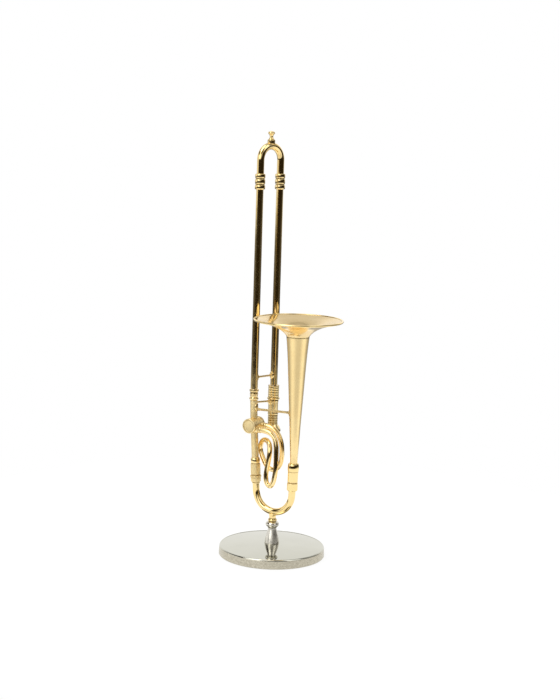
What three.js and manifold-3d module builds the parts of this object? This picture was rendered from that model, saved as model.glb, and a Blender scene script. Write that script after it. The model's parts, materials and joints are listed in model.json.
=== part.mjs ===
import * as THREE from 'three';
import { mergeVertices } from 'three/addons/utils/BufferGeometryUtils.js';
import Module from 'manifold-3d';

// Miniature trombone with a valve and an F wrap, standing bell-up on a round weighted stand.
// Millimetres, +Z up. The origin is on the floor under the centre of the stand.
// The bell and the tuning bow lie in the XZ plane, +X from the slide towards the bell.
// The hand slide lies in a second plane, turned away from the first about its left tube.

const wasm = await Module();
wasm.setup();

// ---- Driving dimensions ----

const GAP = 0.15; // left between fixed neighbours
const RUN = 0.15; // radial clearance of pieces that slide or turn

const TUBE_R = 1.7; // main tubing, outside
const TUBE_BORE = 1.3;
const INNER_R = TUBE_BORE - RUN; // inner slide tubes
const INNER_BORE = 0.75;
const WRAP_R = 1.18; // F wrap tubing, outside
const WRAP_BORE = 0.8;

const SLIDE_LEFT = new THREE.Vector3(-12.35, 0, 0); // axis of the left slide tube
const SLIDE_RIGHT = new THREE.Vector3(-8.85, 12.15, 0); // axis of the right slide tube
const BELL_X = 10.65; // axis of the bell

const BASE_R = 25.2;
const BASE_TOP_R = 24.45;
const BASE_EDGE_Z = 4.6;
const BASE_CROWN_Z = 5.75;
const PAD_R = 21.8;
const PAD_PROUD = 0.3; // the pad stands this far below the metal
const PAD_T = 0.9;
const STEM_TOP_Z = 16.7;

const BOW_R = 9.87; // tuning bow, centre line
const BOW_CENTRE = new THREE.Vector3(0.3, 0, 31);
const LEFT_LEAN = THREE.MathUtils.degToRad(4); // both legs open a little towards the top
const RIGHT_LEAN = THREE.MathUtils.degToRad(1.5);
const LEFT_LEG = 8;
const RIGHT_LEG = 14;

const VALVE_X = -11.6;
const VALVE_Z = 61.8;
const VALVE_R = 3.5;
const VALVE_BORE = 2.85;
const CASING_Y = [-4.2, 4.1];
const ROTOR_Y = [-3.95, 2.8];
const LEVER_Y = 4.5;
const LEVER_T = 0.8;
const LEVER_REACH = 5.2;

const LEFT_STOP_Z = 78.9; // top of the left cork barrel
const RIGHT_STOP_Z = 79.5;
const INNER_TOP_Z = 175;
const OUTER_TOP_Z = 176.7;
const FERRULE_Z = 173;
const BOW_LEG_Z = 186.86; // where the slide bow starts to curve
const TOP_Z = 200;

const BELL_FOOT_Z = 45.3;
const BELL_SEAM_Z = 106.5; // where the stem ends and the flare begins
const BELL_RIM_R = 20.95;
const BELL_RIM_Z = 114.2;
const BELL_WALL = 0.45;

const INNER_BRACE_Z = 72.4;
const OUTER_BRACE_Z = 84.5;
const BELL_BRACE_Z = 69.4;
const BELL_BRACE_RISE = 0.6;

const FINE = 36; // sides of the large round pieces
const ROUND = 14; // sides of the small ones
const TUBE_SIDES = 12;

// ---- Finishes ----

const gold = { color: 0xe3bd6f, roughness: 0.14, metalness: 1 };
const satinGold = { color: 0xe9cc8c, roughness: 0.34, metalness: 1 };
const nickel = { color: 0xc9c6bd, roughness: 0.2, metalness: 1 };
const steel = { color: 0x8f8f8d, roughness: 0.4, metalness: 1 };
const felt = { color: 0x24382c, roughness: 0.95, metalness: 0 };

// ---- Helpers ----

const trombone = new THREE.Group();

function add(name, geometry, finish) {
  const mesh = new THREE.Mesh(geometry, new THREE.MeshStandardMaterial(finish));
  mesh.name = name;
  trombone.add(mesh);
  return mesh;
}

// A solid turned about +Z. The outline is [radius, height] pairs, counter-clockwise, that start and
// end on the axis or close on themselves.
function turned(outline, sides = ROUND) {
  const points = outline.map(([r, z]) => new THREE.Vector2(r, z));
  return new THREE.LatheGeometry(points, sides).rotateX(Math.PI / 2);
}

// A turned ring or sleeve: the outside outline from bottom to top, with a straight bore.
function sleeve(outside, bore, sides = ROUND) {
  const bottom = outside[0][1];
  const top = outside[outside.length - 1][1];
  return turned([[bore, top], [bore, bottom], ...outside, [bore, top]], sides);
}

// Outline of a sleeve with raised rings: the rings are [low, high, radius] on a body of radius r.
function ringed(low, high, r, rings, edge = 0.2) {
  const outline = [[r, low]];
  for (const [from, to, ringR] of rings) {
    outline.push([r, from], [ringR, from + edge], [ringR, to - edge], [r, to]);
  }
  outline.push([r, high]);
  return outline.filter((p, i) => i === 0 || p[0] !== outline[i - 1][0] || p[1] !== outline[i - 1][1]);
}

function arc(centre, radius, u, v, from, to) {
  const curve = new THREE.Curve();
  curve.getPoint = (t, target = new THREE.Vector3()) => {
    const a = from + (to - from) * t;
    return target
      .copy(centre)
      .addScaledVector(u, radius * Math.cos(a))
      .addScaledVector(v, radius * Math.sin(a));
  };
  return curve;
}

function pathOf(...curves) {
  const path = new THREE.CurvePath();
  curves.forEach((curve) => path.add(curve));
  return path;
}

// A tube along a curve, with its ends cut square and open.
function tube(path, radius, bore, steps, sides = TUBE_SIDES) {
  const ring = new THREE.Shape().absarc(0, 0, radius, 0, 2 * Math.PI);
  ring.holes.push(new THREE.Path().absarc(0, 0, bore, 0, 2 * Math.PI, true));
  return new THREE.ExtrudeGeometry(ring, { extrudePath: path, steps, curveSegments: sides / 2 });
}

function straightTube(from, to, radius, bore) {
  return tube(new THREE.LineCurve3(from, to), radius, bore, 1, ROUND);
}

// A plain solid bar along a curve, used to cut a seat in a piece that the tube rests on.
function bar(path, radius, steps) {
  const disc = new THREE.Shape().absarc(0, 0, radius, 0, 2 * Math.PI);
  return new THREE.ExtrudeGeometry(disc, { extrudePath: path, steps, curveSegments: TUBE_SIDES / 2 });
}

function solid(geometry) {
  const g = geometry.clone();
  g.deleteAttribute('normal');
  g.deleteAttribute('uv');
  const merged = mergeVertices(g, 1e-4);
  return new wasm.Manifold(
    new wasm.Mesh({
      numProp: 3,
      vertProperties: merged.attributes.position.array,
      triVerts: new Uint32Array(merged.index.array),
    }),
  );
}

function geometryOf(manifold) {
  const mesh = manifold.getMesh();
  return new THREE.BufferGeometry()
    .setAttribute('position', new THREE.BufferAttribute(mesh.vertProperties, 3))
    .setIndex(new THREE.BufferAttribute(mesh.triVerts, 1));
}

function cut(geometry, ...tools) {
  return geometryOf(tools.reduce((body, tool) => body.subtract(solid(tool)), solid(geometry)));
}

const at = (axis, z) => new THREE.Vector3(axis.x, axis.y, z);
const X = new THREE.Vector3(1, 0, 0);
const Z = new THREE.Vector3(0, 0, 1);

// ---- Stand ----

const recessZ = PAD_PROUD + PAD_T - GAP;
const headTop = 3.05;
const domeSteps = 5;
const dome = [];
for (let i = 0; i <= domeSteps; i++) {
  const r = BASE_TOP_R + ((1.65 - BASE_TOP_R) * i) / domeSteps;
  dome.push([r, BASE_EDGE_Z + (BASE_CROWN_Z - BASE_EDGE_Z) * (1 - (r / BASE_TOP_R) ** 2)]);
}
add(
  'base_disc',
  turned(
    [
      [1.65, headTop + GAP],
      [3, headTop + GAP],
      [3, recessZ],
      [PAD_R + GAP, recessZ],
      [PAD_R + GAP, PAD_PROUD],
      [BASE_R - 0.3, PAD_PROUD],
      [BASE_R, PAD_PROUD + 0.3],
      [BASE_R - 0.2, BASE_EDGE_Z - 0.6],
      ...dome,
      [1.65, headTop + GAP],
    ],
    FINE,
  ),
  nickel,
);
add('base_pad', turned([[0, 0], [PAD_R, 0], [PAD_R, PAD_T], [0, PAD_T]], FINE), felt);
add(
  'stem_screw',
  turned([
    [0, 2.3],
    [1.2, 2.3],
    [1.2, recessZ + GAP],
    [2.7, recessZ + GAP],
    [2.7, headTop],
    [1.4, headTop],
    [1.4, 12],
    [0, 12],
  ]),
  steel,
);
const stemFoot = BASE_CROWN_Z + GAP;
add(
  'stand_stem',
  turned(
    [
      [0, 12.3],
      [1.55, 12.3],
      [1.55, stemFoot],
      [3.5, stemFoot],
      [3.45, 6.6],
      [3.2, 8],
      [2.8, 9.8],
      [2.35, 11.6],
      [2.05, 13.1],
      [2.05, 13.4],
      [2.75, 13.6],
      [3.15, 14.4],
      [3.2, 15.3],
      [3.05, 16.3],
      [2.7, STEM_TOP_Z],
      [1.05, STEM_TOP_Z],
      [1.05, 12.9],
      [0, 12.9],
    ],
    20,
  ),
  nickel,
);

// ---- Tuning bow and its ferrules ----

// The leg lines run up from the two ends of the arc, each leaning outwards.
const leftUp = new THREE.Vector3(-Math.sin(LEFT_LEAN), 0, Math.cos(LEFT_LEAN));
const rightUp = new THREE.Vector3(Math.sin(RIGHT_LEAN), 0, Math.cos(RIGHT_LEAN));
const bowArc = arc(BOW_CENTRE, BOW_R, X, Z, Math.PI + LEFT_LEAN, 2 * Math.PI - RIGHT_LEAN);
const leftFoot = bowArc.getPoint(0);
const rightFoot = bowArc.getPoint(1);
const onLeft = (s) => leftFoot.clone().addScaledVector(leftUp, s);
const onRight = (s) => rightFoot.clone().addScaledVector(rightUp, s);
const bowPath = pathOf(
  new THREE.LineCurve3(onLeft(LEFT_LEG), leftFoot),
  bowArc,
  new THREE.LineCurve3(rightFoot, onRight(RIGHT_LEG)),
);
add('tuning_bow', tube(bowPath, TUBE_R, TUBE_BORE, 22), gold);

const knob = turned([
  [0, 13.1],
  [0.85, 13.1],
  [0.85, STEM_TOP_Z + GAP],
  [2.1, STEM_TOP_Z + GAP],
  [2.2, 17.2],
  [2.05, 17.6],
  [1.65, 17.95],
  [1.65, 18.8],
  [1.95, 20.4],
  [0, 20.4],
]);
add('mount_knob', cut(knob, bar(bowPath, TUBE_R + GAP, 22)), gold);

const leftFerrule = add(
  'valve_side_ferrule',
  sleeve(
    [
      [1.95, 3.2],
      [1.95, 3.9],
      [2.5, 4.2],
      [2.5, 6.2],
      [2.7, 6.4],
      [2.7, 7.1],
      [2.35, 7.3],
      [2.35, 12.9],
      [2.15, 13.1],
      [2.25, 14],
      [2.2, 14.9],
      [2, 15.7],
    ],
    TUBE_R + GAP,
  ),
  gold,
);
leftFerrule.position.copy(leftFoot);
leftFerrule.rotation.y = -LEFT_LEAN;

const rightFerrule = add(
  'bell_side_ferrule',
  sleeve(
    [
      [2.5, 2.3],
      [2.6, 2.6],
      [2.6, 5.9],
      [2.3, 6.1],
      [2.3, 6.6],
      [2.45, 6.8],
      [2.5, 11.6],
      [2.65, 11.9],
      [2.7, 13.2],
      [2.6, 14.5],
      [2.3, 15.5],
    ],
    2,
  ),
  gold,
);
rightFerrule.position.copy(rightFoot);
rightFerrule.rotation.y = RIGHT_LEAN;

// ---- Bell ----

// Outside radius of the stem against height, from the ferrule to the seam.
const STEM_OUTLINE = [
  [1.72, BELL_FOOT_Z],
  [1.85, 50],
  [2.25, 57],
  [2.65, 65],
  [3.2, 74.5],
  [3.75, 84],
  [4.3, 93.5],
  [4.85, 101],
  [5.35, BELL_SEAM_Z],
];
add(
  'bell_stem',
  turned(
    [
      ...STEM_OUTLINE,
      ...STEM_OUTLINE.filter((p, i) => i % 2 === 0)
        .map(([r, z]) => [r - BELL_WALL, z])
        .reverse(),
      STEM_OUTLINE[0],
    ],
    24,
  ).translate(BELL_X, 0, 0),
  satinGold,
);
const FLARE_OUTLINE = [
  [5.4, BELL_SEAM_Z + GAP],
  [6, 107.4],
  [7.1, 108.5],
  [8.8, 109.7],
  [11.2, 110.9],
  [14.2, 112],
  [17.6, 113],
  [BELL_RIM_R - 0.5, 113.65],
];
const RIM_BEAD = [
  [BELL_RIM_R - 0.1, 113.75],
  [BELL_RIM_R, BELL_RIM_Z],
  [BELL_RIM_R - 0.15, BELL_RIM_Z + 0.4],
  [BELL_RIM_R - 0.75, BELL_RIM_Z + 0.35],
];
add(
  'bell_flare',
  turned(
    [
      ...FLARE_OUTLINE,
      ...RIM_BEAD,
      ...FLARE_OUTLINE.slice(1, -1)
        .map(([r, z]) => [r - BELL_WALL * 0.8, z + BELL_WALL * 0.8])
        .reverse(),
      [5.4 - BELL_WALL, BELL_SEAM_Z + GAP],
      FLARE_OUTLINE[0],
    ],
    FINE,
  ).translate(BELL_X, 0, 0),
  gold,
);

// ---- Neck and valve ----

const leftAt = (z) => (z - leftFoot.z) / leftUp.z;
const lowerNeckTop = VALVE_Z - VALVE_R - 0.3;
const upperNeckFoot = VALVE_Z + VALVE_R + 0.3;
const upperNeckTop = 73.15;
add(
  'neck_tube_lower',
  straightTube(onLeft(LEFT_LEG + 0.3), onLeft(leftAt(lowerNeckTop)), TUBE_R, TUBE_BORE),
  gold,
);
add(
  'neck_tube_upper',
  straightTube(onLeft(leftAt(upperNeckFoot)), at(SLIDE_LEFT, upperNeckTop), TUBE_R, TUBE_BORE),
  gold,
);

// Turned pieces of the valve lie along +Y.
const alongY = (geometry) => geometry.rotateX(-Math.PI / 2).translate(VALVE_X, 0, VALVE_Z);
const drill = (from, to, r) => bar(new THREE.LineCurve3(from, to), r, 1);
const valveCentre = new THREE.Vector3(VALVE_X, 0, VALVE_Z);

// Where the two ends of the wrap enter the casing.
const PORT_FRONT = new THREE.Vector3(VALVE_X + VALVE_R + 0.25, -2.8, 60.2);
const PORT_REAR = new THREE.Vector3(VALVE_X + VALVE_R + 0.25, 1.9, 61.6);
const into = (port) => new THREE.Vector3(VALVE_X + 1.5, port.y, port.z);

const [casingFront, casingBack] = CASING_Y;
add(
  'valve_casing',
  cut(
    alongY(
      sleeve(
        [
          [VALVE_R - 0.15, casingFront],
          [VALVE_R, casingFront + 0.15],
          [VALVE_R, casingBack - 0.4],
          [VALVE_R - 0.3, casingBack],
        ],
        VALVE_BORE,
        24,
      ),
    ),
    drill(valveCentre, valveCentre.clone().setZ(VALVE_Z + 5), TUBE_BORE),
    drill(valveCentre, valveCentre.clone().setZ(VALVE_Z - 5), TUBE_BORE),
    drill(into(PORT_FRONT), PORT_FRONT, WRAP_BORE),
    drill(into(PORT_REAR), PORT_REAR, WRAP_BORE),
  ),
  gold,
);
const capBack = casingFront - GAP;
const capFront = -5.4;
add(
  'valve_front_cap',
  alongY(
    turned(
      [
        [0, capFront + 0.25],
        [2.4, capFront + 0.25],
        [2.6, capFront],
        [VALVE_R - 0.25, capFront],
        [VALVE_R, capFront + 0.25],
        [VALVE_R, capBack],
        [0, capBack],
      ],
      24,
    ),
  ),
  gold,
);
const plateFront = ROTOR_Y[1] + GAP;
add(
  'valve_back_plate',
  alongY(
    sleeve(
      [
        [VALVE_BORE - GAP, plateFront],
        [VALVE_BORE - GAP, casingBack - 0.1],
      ],
      0.6 + RUN,
      20,
    ),
  ),
  gold,
);
const passage = 1.9; // offset of the rotor's two passages from its axis
const rotorBar = alongY(
  turned([
    [0, ROTOR_Y[0]],
    [VALVE_BORE - RUN, ROTOR_Y[0]],
    [VALVE_BORE - RUN, ROTOR_Y[1]],
    [0.6, ROTOR_Y[1]],
    [0.6, LEVER_Y + LEVER_T + 0.3],
    [0, LEVER_Y + LEVER_T + 0.3],
  ]),
);
const passageCut = (side) => {
  const middle = new THREE.Vector3(VALVE_X + side * passage, 0, VALVE_Z);
  return drill(middle.clone().setZ(VALVE_Z - 4), middle.clone().setZ(VALVE_Z + 4), 1.2);
};
add('valve_rotor', cut(rotorBar, passageCut(-1), passageCut(1)), nickel);

// The lever is a tapered plate on the rotor's spindle, pointing left at rest.
const leverTilt = THREE.MathUtils.degToRad(190);
const hubR = 1.15;
const thumbR = 1.5;
const taper = Math.asin((thumbR - hubR) / LEVER_REACH);
const leverShape = new THREE.Shape()
  .absarc(0, 0, hubR, Math.PI / 2 + taper, -Math.PI / 2 - taper, false)
  .absarc(LEVER_REACH, 0, thumbR, -Math.PI / 2 - taper, Math.PI / 2 + taper, false);
leverShape.holes.push(new THREE.Path().absarc(0, 0, 0.6 + GAP, 0, 2 * Math.PI, true));
add(
  'thumb_lever',
  new THREE.ExtrudeGeometry(leverShape, { depth: LEVER_T, bevelEnabled: false, curveSegments: 8 })
    .rotateZ(-leverTilt)
    .rotateX(-Math.PI / 2)
    .translate(VALVE_X, LEVER_Y, VALVE_Z),
  gold,
);

// ---- F wrap ----

// Centre lines through points chosen by hand: [x, y, z].
const WRAP_FRONT = [
  [-5.4, -2.8, 60.2],
  [-2.4, -2.8, 60],
  [0, -2.8, 59],
  [1.6, -2.8, 57.2],
  [2.6, -3.1, 53.5],
  [3, -3.5, 48.2],
  [3.2, -4, 42.8],
  [2.8, -4.3, 38.4],
  [2, -4.6, 35.5],
  [0.7, -4.6, 34.4],
  [-0.9, -4.6, 35.4],
  [-1.8, -4.4, 37.9],
  [-1.7, -4, 41.9],
  [-0.9, -3.6, 46.7],
  [-0.7, -3.2, 51.1],
  [-1.5, -2.3, 53.9],
  [-3.2, -1.2, 55.1],
  [-5.4, 0, 55.3],
];
const WRAP_REAR = [
  [-7.6, 1.3, 54.3],
  [-9.2, 2.5, 52.2],
  [-9.75, 2.9, 50],
  [-8.9, 2.8, 47.4],
  [-7.6, 2.7, 45],
  [-5.7, 2.6, 42],
  [-3.4, 2.5, 40.7],
  [-0.9, 2.5, 40.9],
  [1.1, 2.5, 42.6],
  [2.3, 2.5, 45],
  [2.6, 2.5, 49],
  [2.3, 2.4, 53.8],
  [1.1, 2.3, 57.2],
  [-0.8, 2.2, 59.7],
  [-3.4, 2.1, 61.1],
  [-5.8, 2, 61.6],
];
const through = (points) => new THREE.CatmullRomCurve3(points.map((p) => new THREE.Vector3(...p)));
const join = new THREE.Vector3(-6.2, 0.4, 55.1); // the two lengths of the wrap meet here
const joinGap = new THREE.Vector3(-0.3, 0.18, -0.09);
const frontPoints = [PORT_FRONT.toArray(), ...WRAP_FRONT, join.toArray()];
const rearPoints = [join.clone().add(joinGap).toArray(), ...WRAP_REAR, PORT_REAR.toArray()];
add('wrap_tube_front', tube(through(frontPoints), WRAP_R, WRAP_BORE, 40, 8), gold);
add('wrap_tube_rear', tube(through(rearPoints), WRAP_R, WRAP_BORE, 32, 8), gold);

// ---- Fixed side of the slide ----

add(
  'cork_barrel_left',
  sleeve(
    [
      [1.9, 73.3],
      [2.15, 73.6],
      [2.15, 75.2],
      [1.85, 75.5],
      [1.85, 77.7],
      [2.15, 77.9],
      [2.15, LEFT_STOP_Z],
    ],
    INNER_R + GAP,
  ).translate(SLIDE_LEFT.x, SLIDE_LEFT.y, 0),
  gold,
);
add(
  'cork_barrel_right',
  sleeve(
    [
      [2.95, 72.7],
      [2.95, 73.6],
      [2.45, 73.8],
      [2.65, 74.2],
      [2.65, 75.6],
      [2.45, 75.8],
      [2.65, 76],
      [2.65, 77.6],
      [2.45, 77.8],
      [2.6, 78.2],
      [2.6, RIGHT_STOP_Z],
    ],
    INNER_R + GAP,
  ).translate(SLIDE_RIGHT.x, SLIDE_RIGHT.y, 0),
  gold,
);
for (const [side, axis] of [['left', SLIDE_LEFT], ['right', SLIDE_RIGHT]]) {
  add(
    `inner_slide_tube_${side}`,
    straightTube(at(axis, upperNeckTop + 0.3), at(axis, INNER_TOP_Z), INNER_R, INNER_BORE),
    nickel,
  );
}

// ---- Mouthpiece ----

const receiverTop = 72.55;
const receiverFoot = 65.2;
const shankR = 1.3;
const shankTop = 69.6;
add(
  'mouthpiece_receiver',
  turned([
    [1.1, receiverTop],
    [1.1, shankTop + 0.4],
    [shankR + RUN, shankTop + 0.4],
    [shankR + RUN, receiverFoot],
    [2.3, receiverFoot],
    [2.45, receiverFoot + 0.3],
    [2.45, receiverTop - 0.3],
    [2.3, receiverTop],
    [1.1, receiverTop],
  ]).translate(SLIDE_RIGHT.x, SLIDE_RIGHT.y, 0),
  gold,
);
const bodyTop = receiverFoot - GAP;
const RIM_Z = 56.8; // the mouthpiece's rim faces down
add(
  'mouthpiece',
  turned(
    [
      [0.6, shankTop],
      [0.6, 61.6],
      [1.6, 60.4],
      [2.6, 59],
      [3, 57.6],
      [3.2, RIM_Z],
      [3.7, RIM_Z],
      [3.9, 57.4],
      [3.7, 58.4],
      [2.9, 59.6],
      [2.35, 60.7],
      [2.55, 61.1],
      [2.35, 61.5],
      [2.55, 62.6],
      [2.35, 63.1],
      [2.55, 64.3],
      [2.35, bodyTop],
      [shankR, bodyTop],
      [shankR - 0.1, shankTop],
      [0.6, shankTop],
    ],
    20,
  ).translate(SLIDE_RIGHT.x, SLIDE_RIGHT.y, 0),
  gold,
);

// ---- Moving slide ----

for (const [side, axis, stop] of [
  ['left', SLIDE_LEFT, LEFT_STOP_Z],
  ['right', SLIDE_RIGHT, RIGHT_STOP_Z],
]) {
  add(
    `outer_slide_tube_${side}`,
    straightTube(at(axis, stop + 0.2), at(axis, OUTER_TOP_Z), TUBE_R, TUBE_BORE),
    gold,
  );
  add(
    `bow_ferrule_${side}`,
    sleeve(
      ringed(FERRULE_Z, FERRULE_Z + 7.3, 2.15, [
        [FERRULE_Z + 0.1, FERRULE_Z + 2, 2.42],
        [FERRULE_Z + 2.6, FERRULE_Z + 4.7, 2.42],
        [FERRULE_Z + 5.3, FERRULE_Z + 7.2, 2.42],
      ]),
      TUBE_R + GAP,
    ).translate(axis.x, axis.y, 0),
    gold,
  );
}
const across = SLIDE_RIGHT.clone().sub(SLIDE_LEFT);
const slideWidth = across.length();
across.normalize();
const slideMiddle = SLIDE_LEFT.clone().addScaledVector(across, slideWidth / 2);
const crook = arc(at(slideMiddle, BOW_LEG_Z), slideWidth / 2, across, Z, Math.PI, 0);
const crookPath = pathOf(
  new THREE.LineCurve3(at(SLIDE_LEFT, OUTER_TOP_Z + 0.3), at(SLIDE_LEFT, BOW_LEG_Z)),
  crook,
  new THREE.LineCurve3(at(SLIDE_RIGHT, BOW_LEG_Z), at(SLIDE_RIGHT, OUTER_TOP_Z + 0.3)),
);
add('slide_bow', tube(crookPath, TUBE_R, TUBE_BORE, 20), gold);

const finial = turned([
  [0, 194],
  [1.85, 194],
  [1.85, 195.7],
  [1.5, 196.3],
  [0.95, 197],
  [0.95, 197.9],
  [1.55, 198.5],
  [1.6, 199.3],
  [1.1, 199.8],
  [0, TOP_Z],
]).translate(slideMiddle.x, slideMiddle.y, 0);
add('bumper_knob', cut(finial, bar(crookPath, TUBE_R + GAP, 20)), gold);

// ---- Braces ----

// An oval foot, curved to the tube that it is soldered to. It faces the direction `towards`.
function braceFoot(axis, z, tubeR, towards, width = 2.6, height = 3.6) {
  const oval = new THREE.Shape().absellipse(0, 0, width / 2, height / 2, 0, 2 * Math.PI);
  const plug = new THREE.ExtrudeGeometry(oval, { depth: 3, bevelEnabled: false, curveSegments: 8 })
    .rotateX(Math.PI / 2)
    .rotateZ(Math.atan2(towards.y, towards.x) + Math.PI / 2)
    .translate(towards.x, towards.y, 0);
  const shell = sleeve([[tubeR + 0.4, -3], [tubeR + 0.4, 3]], tubeR + 0.1, 24);
  return geometryOf(solid(plug).intersect(solid(shell))).translate(axis.x, axis.y, z);
}

// A turned rod between two points, thicker at its ends.
function braceRod(from, to, r, endR) {
  const length = from.distanceTo(to);
  const rod = turned([
    [0, 0],
    [endR, 0],
    [endR, 0.4],
    [r, 1.2],
    [r, length - 1.2],
    [endR, length - 0.4],
    [endR, length],
    [0, length],
  ], 12);
  const turn = new THREE.Quaternion().setFromUnitVectors(Z, to.clone().sub(from).normalize());
  return rod.applyQuaternion(turn).translate(from.x, from.y, from.z);
}

const reach = TUBE_R + 0.4 + 0.1; // from a tube's axis to the end of its brace rod
const back = across.clone().negate();
add('outer_brace_foot_left', braceFoot(SLIDE_LEFT, OUTER_BRACE_Z, TUBE_R, across), gold);
add('outer_brace_foot_right', braceFoot(SLIDE_RIGHT, OUTER_BRACE_Z, TUBE_R, back), gold);
add(
  'outer_slide_brace',
  braceRod(
    at(SLIDE_LEFT, OUTER_BRACE_Z).addScaledVector(across, reach),
    at(SLIDE_RIGHT, OUTER_BRACE_Z).addScaledVector(back, reach),
    0.45,
    0.7,
  ),
  gold,
);
// The inner brace runs from the neck tube to the mouthpiece receiver, just under the cork barrels.
const receiverR = 2.45;
const receiverBrace = INNER_BRACE_Z - 0.4;
add('inner_brace_foot_right', braceFoot(SLIDE_RIGHT, receiverBrace - 0.6, receiverR, back, 2.6, 2.3), gold);
add(
  'inner_slide_brace',
  braceRod(
    at(SLIDE_LEFT, INNER_BRACE_Z).addScaledVector(across, TUBE_R + GAP),
    at(SLIDE_RIGHT, receiverBrace).addScaledVector(back, receiverR + 0.5),
    0.45,
    0.65,
  ),
  gold,
);
const bellBraceRoot = onLeft(leftAt(BELL_BRACE_Z));
add('bell_brace_foot_left', braceFoot(bellBraceRoot, BELL_BRACE_Z + 0.9, TUBE_R + 0.1, X, 2.4, 4.2), gold);
add(
  'bell_brace_foot_right',
  braceFoot(new THREE.Vector3(BELL_X, 0, 0), BELL_BRACE_Z + BELL_BRACE_RISE, 2.95, X.clone().negate()),
  gold,
);
add(
  'bell_brace',
  braceRod(
    bellBraceRoot.clone().addScaledVector(X, reach + 0.1),
    new THREE.Vector3(BELL_X - 2.95 - 0.5, 0, BELL_BRACE_Z + BELL_BRACE_RISE),
    0.55,
    0.75,
  ),
  gold,
);

export default trombone;
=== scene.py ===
import json
import math

import bmesh
import bpy
from mathutils import Matrix, Vector


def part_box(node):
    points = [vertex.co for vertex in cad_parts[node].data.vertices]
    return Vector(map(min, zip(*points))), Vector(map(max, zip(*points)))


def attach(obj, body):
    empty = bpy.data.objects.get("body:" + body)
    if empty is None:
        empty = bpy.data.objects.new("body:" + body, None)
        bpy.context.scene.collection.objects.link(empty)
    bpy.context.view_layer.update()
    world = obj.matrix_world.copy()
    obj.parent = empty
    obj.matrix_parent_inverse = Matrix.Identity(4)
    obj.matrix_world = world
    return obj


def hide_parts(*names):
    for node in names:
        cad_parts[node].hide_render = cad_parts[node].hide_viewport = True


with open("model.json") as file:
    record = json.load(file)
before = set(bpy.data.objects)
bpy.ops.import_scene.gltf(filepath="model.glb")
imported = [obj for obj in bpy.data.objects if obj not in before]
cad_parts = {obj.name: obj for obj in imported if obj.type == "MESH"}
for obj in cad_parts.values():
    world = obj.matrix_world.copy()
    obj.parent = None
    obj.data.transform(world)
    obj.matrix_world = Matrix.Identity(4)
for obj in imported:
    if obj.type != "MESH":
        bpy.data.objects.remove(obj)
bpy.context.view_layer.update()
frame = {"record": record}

# A miniature gold-plated trombone with a valve and an F wrap, bell up on a round nickel stand.
# Outlines and places are in millimetres, in the frame of the CAD model, and MM turns them into
# Blender's metres. Every turned piece and tube is an outline of (radius, distance along the axis).

MM = 0.001


# ---- Places and sizes from the frame ----


def low(node):
    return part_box(node)[0] / MM


def high(node):
    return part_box(node)[1] / MM


def middle(node):
    return (low(node) + high(node)) / 2


def radius_of(node):
    """Half the depth of a turned node that stands upright."""
    return (high(node) - low(node)).y / 2


X, Y, Z = Vector((1, 0, 0)), Vector((0, 1, 0)), Vector((0, 0, 1))

LEFT_AXIS = middle("outer_slide_tube_left")
RIGHT_AXIS = middle("outer_slide_tube_right")
BELL_AXIS = middle("bell_stem")
STAND_AXIS = middle("stand_stem")
CAP_CENTRE = middle("valve_front_cap")
ACROSS = Vector((RIGHT_AXIS.x - LEFT_AXIS.x, RIGHT_AXIS.y - LEFT_AXIS.y, 0))  # left tube to right
SLIDE_HALF = ACROSS.length / 2
ACROSS.normalize()

TUBE_R = radius_of("outer_slide_tube_left")
TUBE_BORE = 1.3
INNER_R = radius_of("inner_slide_tube_left")
INNER_BORE = 0.75
WRAP_R = 1.18
WRAP_BORE = 0.8
BASE_R = radius_of("base_disc")
BELL_R = radius_of("bell_flare")
BELL_WALL = 0.45

BOW_R = 9.87
BOW_CENTRE = Vector((0.3, 0, 31))
LEFT_LEAN = math.radians(4)
RIGHT_LEAN = math.radians(1.5)
LEFT_LEG = 8
RIGHT_LEG = 14

THIN_SIDES = 40  # round the wrap
ROD_SIDES = 32  # round a brace
SIDES = 56  # round a tube
WIDE_SIDES = 72  # round the rotor and the receiver
RING_SIDES = 96  # round the valve, the bell's stem and other wide turned pieces
FINE_SIDES = 160  # round the base and the bell
BEND_STEP = 0.6  # the longest stretch of a bent tube that is left straight
FILLET = 0.1
FILLET_STEPS = 3


# ---- Axes ----


class Axis:
    """A line or curve that outlines are turned about. Beyond its ends it runs on straight."""

    def __init__(self, points):
        self.points = [Vector(p) for p in points]
        self.at_length = [0.0]
        for a, b in zip(self.points, self.points[1:]):
            self.at_length.append(self.at_length[-1] + (b - a).length)
        self.length = self.at_length[-1]
        self.tangents = self._tangents()
        self.sides = self._sides()

    def _tangents(self):
        p = self.points
        last = len(p) - 1
        return [(p[min(i + 1, last)] - p[max(i - 1, 0)]).normalized() for i in range(last + 1)]

    def _sides(self):
        """A side direction at each point, carried along the curve without twisting."""
        first = self.tangents[0]
        helper = Y if abs(first.y) < 0.9 else X
        sides = [first.cross(helper).normalized()]
        for t in self.tangents[1:]:
            s = sides[-1]
            sides.append((s - t * s.dot(t)).normalized())
        return sides

    def frame(self, s):
        """The place at distance s, with two directions across the axis there."""
        i = 0
        while i < len(self.points) - 2 and self.at_length[i + 1] < s:
            i += 1
        step = self.at_length[i + 1] - self.at_length[i]
        share = (s - self.at_length[i]) / step
        held = min(max(share, 0.0), 1.0)
        if held == share:
            place = self.points[i].lerp(self.points[i + 1], share)
        else:
            end = i if share < 0 else i + 1
            place = self.points[end] + self.tangents[end] * (s - self.at_length[end])
        tangent = self.tangents[i].lerp(self.tangents[i + 1], held).normalized()
        side = self.sides[i].lerp(self.sides[i + 1], held)
        side = (side - tangent * side.dot(tangent)).normalized()
        return place, side, tangent.cross(side)


def upright(centre):
    """An axis along +Z at a place, where the distance along it is the height."""
    return Axis([(centre.x, centre.y, 0), (centre.x, centre.y, 1)])


def between(a, b):
    return Axis([a, b])


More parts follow.
